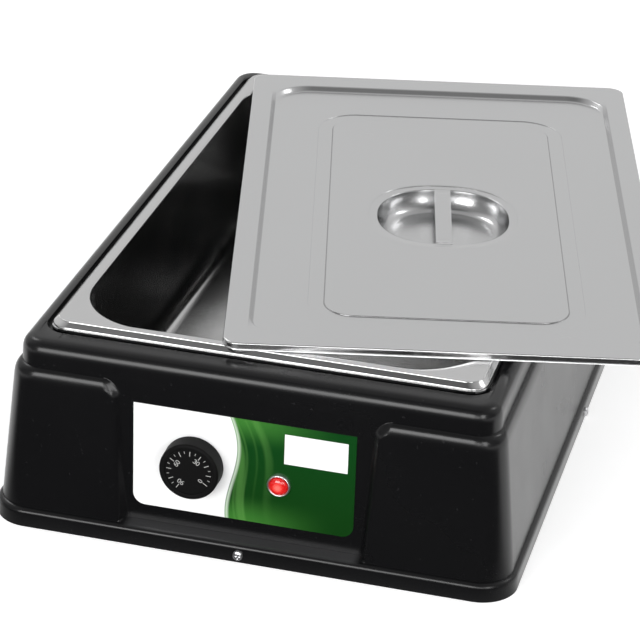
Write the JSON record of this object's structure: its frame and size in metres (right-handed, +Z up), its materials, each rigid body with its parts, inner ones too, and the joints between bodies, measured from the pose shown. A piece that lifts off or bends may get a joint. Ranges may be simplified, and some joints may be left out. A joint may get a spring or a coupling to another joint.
{
  "type": "chocolate melting tank",
  "caption": "Low black plastic tank with a heated well, a lift-out steel pan and a loose steel lid with a finger bowl, set by a front dial with a pilot lamp.",
  "frame": {"origin": "middle of the base plate's underside, on the table below the middle of the housing", "axes": "+X to the right seen from the front, +Y to the back, +Z up; the dial is on the -Y side"},
  "size_m": [0.4833, 0.6278, 0.1572],
  "materials": {
    "black_plastic": "gloss black formed sheet",
    "zinc_sheet": "dull zinc",
    "bright_steel": "bright plated",
    "satin_steel": "satin",
    "heater_rubber": "smooth silicone",
    "mineral_felt": "felted",
    "cream_plastic": "moulded",
    "copper": "drawn copper",
    "brass": "turned",
    "knob_plastic": "satin black with a white printed scale",
    "label_film": "printed film, white and green",
    "lamp_chrome": "polished",
    "red_lens": "clear red, lit",
    "lead_sleeve": "smooth sleeve",
    "gland_plastic": "moulded",
    "pan_steel": "bright rolled stainless",
    "lid_steel": "satin stainless with bright edges"
  },
  "bodies": {
    "housing": {"housing_shell": "black_plastic", "base_plate": "zinc_sheet", "base_screws": "bright_steel", "clip_nuts": "zinc_sheet", "heating_well": "satin_steel", "well_screws": "bright_steel", "heater_mat": "heater_rubber", "insulation_pad": "mineral_felt", "hold_plate": "zinc_sheet", "well_studs": "bright_steel", "stud_nuts": "bright_steel", "safety_cutout": "cream_plastic", "sensor_bulb": "copper", "bulb_clips": "bright_steel", "capillary_tube": "copper", "thermostat_body": "cream_plastic", "thermostat_screws": "bright_steel", "control_label": "label_film", "lamp_bezel": "lamp_chrome", "lamp_lens": "red_lens", "lamp_body": "cream_plastic", "lamp_nut": "bright_steel", "terminal_block": "cream_plastic", "terminal_screws": "brass", "wire_leads": "lead_sleeve", "earth_stud": "brass", "earth_nut": "brass", "cable_gland": "gland_plastic", "gland_nut": "gland_plastic"},
    "knob": {"thermostat_shaft": "brass", "thermostat_knob": "knob_plastic"},
    "pan": {"melting_pan": "pan_steel"},
    "lid": {"lid_plate": "lid_steel", "lid_strap": "lid_steel"}
  },
  "joints": [
    {"name": "knob_turn", "type": "hinge", "parent": "housing", "child": "knob", "pos_m": [-0.042, -0.2888, 0.069], "axis": [0, 1, 0], "range_deg": [-135, 135]},
    {"name": "pan_lift", "type": "slide", "parent": "housing", "child": "pan", "axis": [0, 0, 1], "range_m": [0, 0.13]},
    {"name": "lid_lift", "type": "slide", "parent": "pan", "child": "lid", "axis": [0, 0, 1], "range_m": [0, 0.12]}
  ]
}
